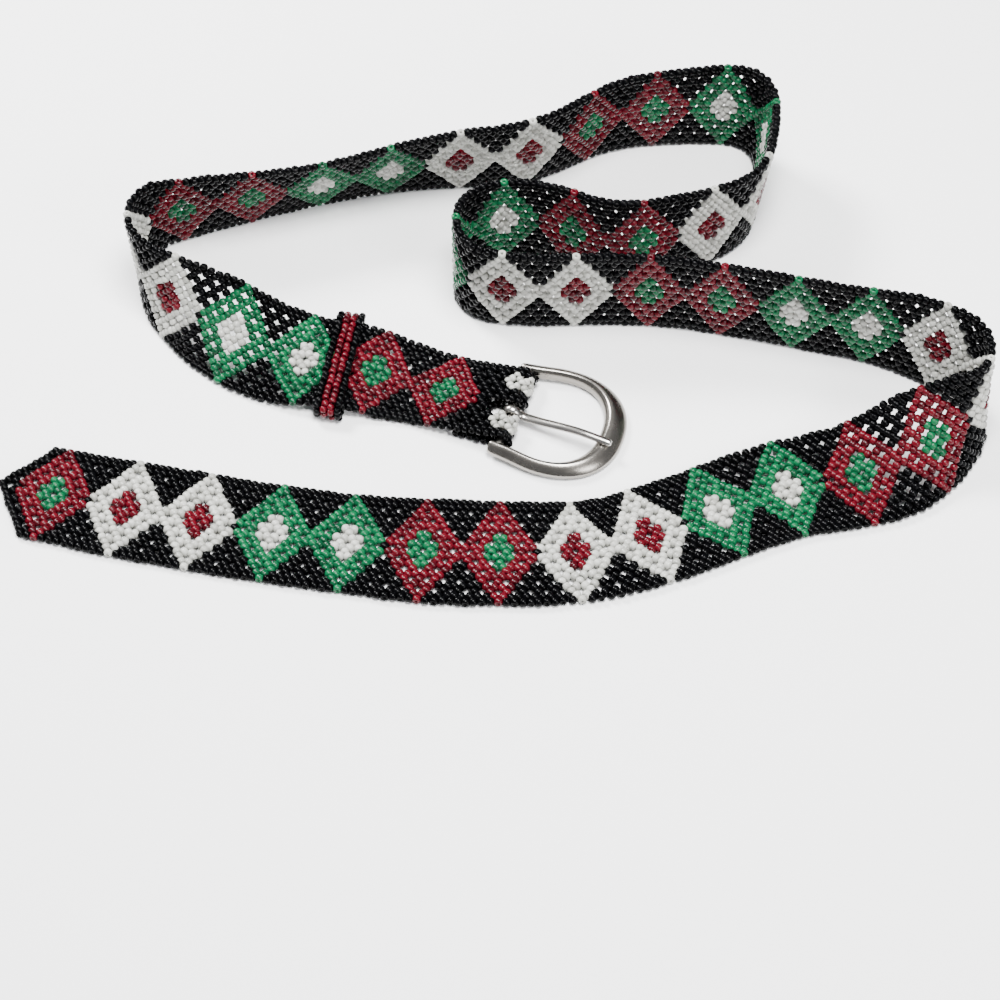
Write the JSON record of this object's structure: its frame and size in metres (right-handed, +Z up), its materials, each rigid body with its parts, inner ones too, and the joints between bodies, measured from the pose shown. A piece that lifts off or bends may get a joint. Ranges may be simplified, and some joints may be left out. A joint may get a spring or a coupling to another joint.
{
  "type": "belt",
  "caption": "Net-woven bead belt with a diamond pattern, horseshoe buckle with hinged tongue, and beaded keeper, lying in an S.",
  "frame": {"origin": "centre of the bounding box in plan, at the level the belt lies on", "axes": "+X from the belt's pointed end along its longest extent, +Y away from the side the picture was taken from, +Z up"},
  "size_m": [0.3416, 0.2138, 0.0402],
  "materials": {
    "bead_black": "gloss",
    "bead_red": "gloss",
    "nickel": "satin",
    "nickel_wire": "satin"
  },
  "bodies": {
    "belt": {"band": "bead_black", "keeper": "bead_red", "buckle_frame": "nickel"},
    "tongue": {"buckle_tongue": "nickel_wire"}
  },
  "joints": [
    {"name": "tongue_swing", "type": "hinge", "parent": "belt", "child": "tongue", "pos_m": [0.006, -0.02532, 0.0042], "axis": [-0.3173, -0.9483, 0], "range_deg": [0, 135]}
  ]
}
